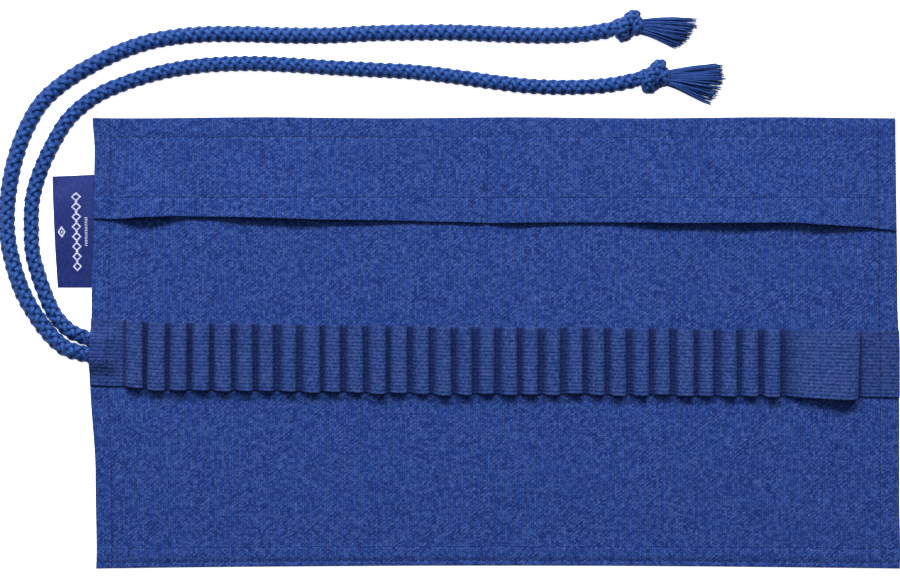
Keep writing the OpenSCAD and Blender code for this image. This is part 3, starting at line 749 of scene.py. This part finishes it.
# ---------------------------------------------------------------------------------------------
# The tie cord: one braided cord about 7 mm thick, folded double. Its bend is sewn in under the
# elastic's left end, and each strand ends in an overhand knot and a combed-out tassel.
# The braid has eight soft yarns, four laid each way, that pass over and under one another.
cord_thick = 6.8
strand_away = 3.6
cord_high = cord_thick / 2 + 0.6
cord_start = 0.5
lay = 18.0
upper_route = [
    (-0.5, 3.6, 0), (-5, 5.5, 0), (-11, 8.5, 0), (-17.5, 15.5, 0), (-22, 25, 0), (-25.5, 35, 0), (-28, 45, 0),
    (-28.5, 57, 0), (-28, 69, 0), (-24.5, 82, 0), (-18, 96, 0), (-10.5, 107.5, 0), (1, 117, 0), (14, 123, 0),
    (30, 128, 0), (50, 131.5, 0), (72, 132.5, 0), (92, 131.8, 0), (112, 130.5, 0), (132, 129.5, 0), (150, 128.5, 0),
    (168, 126.5, 0), (186, 124, 0), (204, 122, 0), (222, 121.5, 0), (240, 122.4, 0.5), (253.5, 124.8, 2.6)]
lower_route = [
    (-0.5, -3.6, 0), (-5.5, -2.4, 0), (-13, 0.2, 0), (-20, 6.5, 0), (-27, 16, 0), (-33, 27, 0), (-37, 39, 0),
    (-39.5, 51, 0), (-40, 63, 0), (-38.5, 77, 0), (-35.5, 90, 0), (-31, 102, 0), (-24, 114, 0), (-14, 123.2, 0),
    (-1, 131.4, 0), (14, 138.5, 0), (30, 143.5, 0), (50, 146, 0), (70, 146.2, 0), (90, 145.6, 0), (110, 145.6, 0),
    (130, 146.6, 0), (150, 147, 0), (170, 147, 0), (190, 146.2, 0), (210, 145.6, 0), (228, 146.2, 0.5),
    (241.5, 148, 2.6)]


def cord_place(points):
    """Places on the table from steps out of the panel's left edge, where the cord leaves it."""
    return np.asarray(points, float) + (left, cord_middle, cord_high)


def braided(name, path, material, size=1.0, flat=1.0, lay=lay, first_turn=0.0):
    """Eight yarns round a line of points in millimetres. flat is how far the braid is pressed down."""
    ahead = np.gradient(path, axis=0)
    ahead /= np.linalg.norm(ahead, axis=1, keepdims=True)
    up = np.empty_like(path)
    last = np.array([0.0, 0.0, 1.0])
    for i, t in enumerate(ahead):
        last = last - (last @ t) * t
        last /= np.linalg.norm(last)
        up[i] = last
    side = np.cross(up, ahead)
    gone = np.concatenate([[0], np.cumsum(np.linalg.norm(np.diff(path, axis=0), axis=1))])
    flat = np.broadcast_to(flat, len(path))[:, None]
    sides = 8
    w = 2 * np.pi * (np.arange(sides) + 0.5) / sides
    across = 1.32 * size * np.cos(w)
    out = size * np.where(np.sin(w) > 0, 1.12 * np.sin(w), 0.22 * np.sin(w))
    points, faces, flat_places = [], [], []
    for way in (1, -1):
        for n in range(4):
            angle = way * 2 * np.pi * gone / lay + n * np.pi / 2 + first_turn
            away = size * (2.02 + way * 0.30 * np.cos(8 * np.pi * gone / lay))
            away = away + 0.05 * size * np.sin(gone / 3.1 + n * 2 + way)
            aim = np.cos(angle)[:, None] * side + np.sin(angle)[:, None] * up * flat
            middle = path + away[:, None] * aim
            run_on = np.gradient(middle, axis=0)
            run_on /= np.linalg.norm(run_on, axis=1, keepdims=True)
            beside = np.cross(run_on, aim)
            beside /= np.linalg.norm(beside, axis=1, keepdims=True)
            ring = middle[:, None] + beside[:, None] * across[None, :, None] + aim[:, None] * out[None, :, None]
            first = len(points) * len(path) * sides
            points.append(ring.reshape(-1, 3))
            j = np.arange(len(path) * sides).reshape(len(path), sides) + first
            k = np.roll(j, -1, axis=1)
            faces += np.stack([j[:-1], j[1:], k[1:], k[:-1]], -1).reshape(-1, 4)[:, ::-1].tolist()
            faces += [j[0].tolist(), j[-1][::-1].tolist()]
            # The third laid value is 1 on each yarn's outer side and 0 on its inner side. The yarn material paints
            # light on the outer side and shade on the inner one.
            flat_places.append(np.stack([gone[:, None] + 0 * w, 0 * gone[:, None] + across[None, :],
                                         np.where(np.sin(w) > 0, np.sin(w), 0)[None, :] + 0 * gone[:, None]], -1).reshape(-1, 3))
    return cloth_mesh(name, np.concatenate(points) * MM, faces, np.concatenate(flat_places) * MM, material, sharp=80)


def yarn_material(name, deep, body, painted_highlight, filament=0.30):
    """Soft glossy yarn of fine filaments, with painted shade where it dips and a painted highlight on its crown."""
    made, tree, shader = plain_material(name, body, 0.5)
    parts = add(tree, "ShaderNodeSeparateXYZ", {0: laid_place(tree)})
    slant = calc(tree, "ADD", calc(tree, "MULTIPLY", parts.outputs[1], 2 * math.pi / (filament * MM)),
                 calc(tree, "MULTIPLY", parts.outputs[0], 2 * math.pi / (2.6 * MM)))
    strand = calc(tree, "MULTIPLY_ADD", calc(tree, "SINE", slant), 0.5, 0.5)
    fuzz = add(tree, "ShaderNodeTexNoise", {"Vector": laid_place(tree), "Scale": 900.0, "Detail": 3.0})
    # Painted light and shade: crown is 1 on the yarn's crown and 0 where it dips. It darkens the colour towards deep
    # and brightens it to the painted highlight.
    crown = calc(tree, "MULTIPLY", parts.outputs[2], 1 / MM)
    share = calc(tree, "MULTIPLY_ADD", strand, 0.25, calc(tree, "MULTIPLY_ADD", crown, 0.85, -0.30))
    share = calc(tree, "ADD", share, calc(tree, "MULTIPLY_ADD", fuzz.outputs["Fac"], 0.9, -0.35), clamp=True)
    dark_to_body = mixed(tree, share, deep, body)
    lit = calc(tree, "MULTIPLY", calc(tree, "SUBTRACT", share, 0.6, clamp=True), 1.6, clamp=True)
    tree.links.new(mixed(tree, lit, dark_to_body, painted_highlight), shader.inputs["Base Color"])
    tree.links.new(calc(tree, "MULTIPLY_ADD", fuzz.outputs["Fac"], 0.3, 0.38), shader.inputs["Roughness"])
    bump = add(tree, "ShaderNodeBump", {"Strength": 0.5, "Distance": 0.08 * MM, "Height": strand})
    tree.links.new(bump.outputs[0], shader.inputs["Normal"])
    shader.inputs["Specular IOR Level"].default_value = 0.16
    shader.inputs["Sheen Weight"].default_value = 0.02
    return made


# Yarn colours: painted shade where it dips, the yarn's own body colour, and a painted highlight on its crown.
cord_yarn = yarn_material("cord_yarn", (0.001, 0.007, 0.070), (0.007, 0.050, 0.228), (0.045, 0.142, 0.440))
tassel_yarn = yarn_material("tassel_yarn", (0.002, 0.012, 0.085), (0.012, 0.056, 0.260), (0.055, 0.140, 0.430), 0.2)

knot_route = np.array([
    (-5.2, 0.1, -0.5), (-1.5, 1.2, -1.6), (1.8, 3.2, -1.2), (3.3, 4.6, 0.6), (1.5, 3.7, 2.5), (-0.9, 0.6, 3.2),
    (-2.6, -2.6, 2.4), (-2.5, -4.6, 0.5), (-0.3, -3.6, -1.6), (2.1, -0.6, -2.2), (4.1, 1.9, -0.6), (4.2, 1.3, 1.5),
    (3.3, -1.3, 1.9), (3.5, -1.9, 0.4), (6.0, -0.6, 0)])


def splayed(name, neck, tips, number, seed):
    """A tassel: yarns that leave the knot's end together and fan out over the table to ragged tips."""
    draw = np.random.default_rng(seed)
    high_tip, middle_tip, low_tip = (np.array(t, float) for t in tips)
    rings, sides = 9, 5
    w = 2 * np.pi * np.arange(sides) / sides
    t = np.linspace(0, 1, rings)[:, None]
    points, faces, flat_places = [], [], []
    for n in range(number):
        hair = n % 5 == 4
        f = draw.uniform(-1, 1)
        tip = high_tip * f * (f + 1) / 2 + middle_tip * (1 - f * f) + low_tip * f * (f - 1) / 2
        tip = neck[:2] + (tip - neck[:2]) * np.clip(draw.normal(0.965, 0.045), 0.80, 1.05 + 0.03 * hair)
        turn_in = draw.uniform(0, 2 * math.pi)
        start = neck + (0, 2.5 * f + 0.5 * math.cos(turn_in), 1.5 * math.sin(turn_in))
        end = np.array([tip[0], tip[1] + draw.normal(0, 0.35), 0.45 + draw.uniform(0, 3.4) * (1 - 0.55 * f * f)])
        one = start + (7.5, 1.5 * f + 0.3, -0.3 + draw.normal(0, 0.3))
        two = start + (end - start) * 0.68 + (0, draw.normal(0, 0.5) + 0.5 * f, 1.2 + draw.normal(0, 0.4))
        middle = (1 - t) ** 3 * start + 3 * t * (1 - t) ** 2 * one + 3 * t * t * (1 - t) * two + t ** 3 * end
        middle[:, 2] = np.maximum(middle[:, 2], 0.42)
        ahead = np.gradient(middle, axis=0)
        ahead /= np.linalg.norm(ahead, axis=1, keepdims=True)
        beside = np.cross(ahead, (0, 0, 1.0))
        beside /= np.linalg.norm(beside, axis=1, keepdims=True)
        over = np.cross(beside, ahead)
        thin = (0.11 if hair else draw.uniform(0.3, 0.42)) * np.interp(t[:, 0], [0, 0.7, 1], [1, 1, 0.45])
        ring = middle[:, None] + thin[:, None, None] * (np.cos(w)[None, :, None] * beside[:, None] + np.sin(w)[None, :, None] * over[:, None])
        first = n * rings * sides
        points.append(ring.reshape(-1, 3))
        j = np.arange(rings * sides).reshape(rings, sides) + first
        k = np.roll(j, -1, axis=1)
        faces += np.stack([j[:-1], j[1:], k[1:], k[:-1]], -1).reshape(-1, 4)[:, ::-1].tolist()
        faces += [j[0].tolist(), j[-1][::-1].tolist()]
        gone = np.linspace(0, 26, rings) + n * 31
        # The third laid value is 1 on each yarn's upper side, down to 0.15 underneath, for the yarn material's painted
        # light and shade.
        flat_places.append(np.stack([gone[:, None] + 0 * w, 0 * gone[:, None] + 0.4 * w[None, :],
                                     np.clip(np.sin(w), 0.15, 1)[None, :] + 0 * gone[:, None]], -1).reshape(-1, 3))
    return cloth_mesh(name, np.concatenate(points) * MM, faces, np.concatenate(flat_places) * MM, tassel_yarn, sharp=80)


for word, size, route, knot_middle, knot_size, tips, seed in (
    ("upper", 1.12, upper_route, (73.5, 123.6, 6.5), (1.0, 1.12), ((104.4, 130.0), (106.4, 122.6), (100.6, 110.8)), 5),
    ("lower", 1.2, lower_route, (61.4, 147.2, 6.5), (1.0, 1.0), ((94.4, 151.0), (91.5, 144.0), (85.2, 136.4)), 8),
):
    smooth = evenly(rounded_line(cord_place(route), turns=14), 0.6)
    from_edge = np.concatenate([[0], np.cumsum(np.linalg.norm(np.diff(smooth, axis=0), axis=1))])
    pressed = np.interp(from_edge, [0, 9], [0.46, 1])
    smooth[:, 2] -= np.interp(from_edge, [0, 9], [1.4, 0])
    strand = braided(f"tie_cord_strand_{word}", smooth, cord_yarn, size=size, flat=pressed)
    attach(strand, "strip_01")
    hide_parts(f"tie_cord_{word}")

    tail = smooth[-1] - smooth[-4]
    tail /= np.linalg.norm(tail)
    knot_line = np.concatenate([[smooth[-1] - 2.0 * tail], [smooth[-1] + 0.2 * tail],
                                knot_route * (*knot_size, 1) + knot_middle])
    knot = braided(f"tie_cord_knot_{word}", evenly(rounded_line(knot_line, turns=10), 0.55), cord_yarn, size=1.0, lay=13.0)
    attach(knot, "strip_01")
    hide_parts(f"knot_{word}")

    neck = knot_line[-1] - (1.5, 0, 0)
    tassel = splayed(f"tie_cord_tassel_{word}", neck, tips, 230, seed)
    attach(tassel, "strip_01")
    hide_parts(f"tassel_{word}")

half_turn = np.linspace(math.pi / 2, -math.pi / 2, 12)
bend_route = [(-0.6, strand_away, -1.4), (1.0, strand_away, -1.6), (2.6, strand_away, -1.7)]
bend_route += [(3.4 + 3.5 * math.cos(a), strand_away * math.sin(a), -1.8) for a in half_turn]
bend_route += [(2.6, -strand_away, -1.7), (1.0, -strand_away, -1.6), (-0.6, -strand_away, -1.4)]
bend_line = evenly(rounded_line(cord_place(bend_route)), 0.5)
pressed = np.interp(bend_line[:, 0], [left - 0.6, left + 4], [0.52, 0.42])
bend = braided("tie_cord_bend", bend_line, cord_yarn, size=0.95, flat=pressed)
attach(bend, "strip_01")
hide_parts("cord_bend")

# ---------------------------------------------------------------------------------------------
# The sewing thread: dark blue thread in rows of stitches about three to the centimetre, which hold
# the seams, the hems and every line between two loops. Each stitch bows up between two needle holes.
# The same rows show on the underside.
thread_thick = 0.21
stitch_long = 2.8


def cloth_top(x, y):
    """Height of whatever lies uppermost under a row of stitches."""
    on_band = (np.abs(y - band_middle(x)) < band_width / 2) & ((x < loops_start) | (x > flat_start))
    high = np.where(y > mouth(x), pocket_top(x, y), panel_top(x, y))
    band = panel_top(x, y) + band_thick + 0.6 * rib_high + cord_hump(x, y)
    return np.where(on_band, band, high)


def row_up(x, low, high):
    """Stitches up the panel at x."""
    y = np.arange(low + stitch_pitch / 2, high, stitch_pitch)
    return [(x + rng.normal(0, 0.12), v, 0, 1) for v in y]


def row_across(y, start, end):
    """Stitches along the panel at y."""
    x = np.arange(start + stitch_pitch / 2, end, stitch_pitch)
    return [(v, y + rng.normal(0, 0.12), 1, 0) for v in x]


seams = row_up(side_seams[0], bottom + 1.5, top - 1.5) + row_up(side_seams[1], bottom + 1.5, top - 1.5)
seams += row_across(top_row, side_seams[0], side_seams[1]) + row_across(mouth_row, side_seams[0], side_seams[1])
seams += row_up(divider, mouth(divider) + 0.3, top_row)
for place in hem_rows:
    seams += row_across(place, left + 2, right - 2)
tacks = []
for n in range(31):
    x = loops_start + n * loop_pitch
    tacks += row_up(x, band_middle(x) - 14.8, band_middle(x) + 14.8)
tacks += row_up(flat_start, band_middle(flat_start) - 14.8, band_middle(flat_start) + 14.8)


def stitch_points(stitches, high, side=1):
    """Rings of points for each stitch, its height found from high(x, y), on the upper or the lower side."""
    s = np.array(stitches)
    along = np.array([-0.5, -0.42, -0.15, 0.15, 0.42, 0.5]) * stitch_long
    sink = np.array([-0.3, -0.03, 0.05, 0.05, -0.03, -0.3])
    fat = np.array([0.5, 0.95, 1, 1, 0.95, 0.5]) * thread_thick
    lean = rng.normal(0, 0.05, len(s))
    dx, dy = s[:, 2] * np.cos(lean) - s[:, 3] * np.sin(lean), s[:, 2] * np.sin(lean) + s[:, 3] * np.cos(lean)
    x, y = s[:, 0, None] + dx[:, None] * along, s[:, 1, None] + dy[:, None] * along
    z = high(x, y) + side * (sink + 0.06)
    x, y = stray(x, y)
    w = 2 * np.pi * np.arange(6) / 6
    wide, tall = fat[None, :, None] * np.cos(w), fat[None, :, None] * np.sin(w)
    # Painted shade: a stitch's middle rings get 1 and its ends, down at the needle holes, get 0. The thread material
    # paints the ends almost black.
    hole_shade_mask = np.array([0, 0, 1, 1, 0, 0])[None, :, None] + 0 * wide
    return np.stack([x[..., None] - dy[:, None, None] * wide, y[..., None] + dx[:, None, None] * wide, np.maximum(z[..., None] + tall, 0.02), hole_shade_mask + 0 * x[..., None]], -1)


thread_blue, tree, shader = plain_material("thread_blue", (0.004, 0.012, 0.09), 0.6)
ply = add(tree, "ShaderNodeTexNoise", {"Vector": laid_place(tree), "Scale": 1500.0, "Detail": 2.0})
# Painted shade at the needle holes: where this value is 0 the thread is painted almost black. Along the stitch's middle
# it keeps its tone.
hole_shade_share = add(tree, "ShaderNodeSeparateXYZ", {0: laid_place(tree)}).outputs[2]
thread_tone = mixed(tree, ply.outputs["Fac"], (0.001, 0.007, 0.060), (0.012, 0.040, 0.200))
tree.links.new(mixed(tree, calc(tree, "MULTIPLY", hole_shade_share, 1 / MM), (0.001, 0.003, 0.030), thread_tone), shader.inputs["Base Color"])
tree.links.new(calc(tree, "MULTIPLY_ADD", ply.outputs["Fac"], 0.3, 0.5), shader.inputs["Roughness"])
shader.inputs["Specular IOR Level"].default_value = 0.2


def underside(x, y):
    """Height of the panel's lower side, where it is clear of the table."""
    return np.maximum(swell(x, y) + 0.35 * press(x, y, panel_rows, deep=0.2), 0.12) + 0.04


def sewn_high(x, y):
    """Height of the elastic along the lines where it is sewn down."""
    return panel_top(x, y) + sewn_thick + 0.5 * rib_high


everything = seams + tacks
rings = np.concatenate([stitch_points(seams, cloth_top), stitch_points(tacks, sewn_high), stitch_points(everything, underside, -1)])
home = np.array([s[0] for s in everything + everything])
for k in range(1, strips):
    mine = rings[(home >= cuts[k - 1] - (k == 1)) & (home < cuts[k] + (k == strips - 1))]
    count = len(mine)
    j = np.arange(count * 36).reshape(count, 6, 6)
    n = np.roll(j, -1, axis=2)
    faces = np.stack([j[:, :-1], n[:, :-1], n[:, 1:], j[:, 1:]], -1).reshape(-1, 4)[:, ::-1].tolist()
    faces += j[:, 0].tolist() + j[:, -1, ::-1].tolist()
    points = mine.reshape(-1, 4) * MM
    thread = cloth_mesh(f"sewing_thread_{k:02d}", points[:, :3], faces, points[:, [0, 1, 3]], thread_blue, sharp=80)
    over_fold(thread)
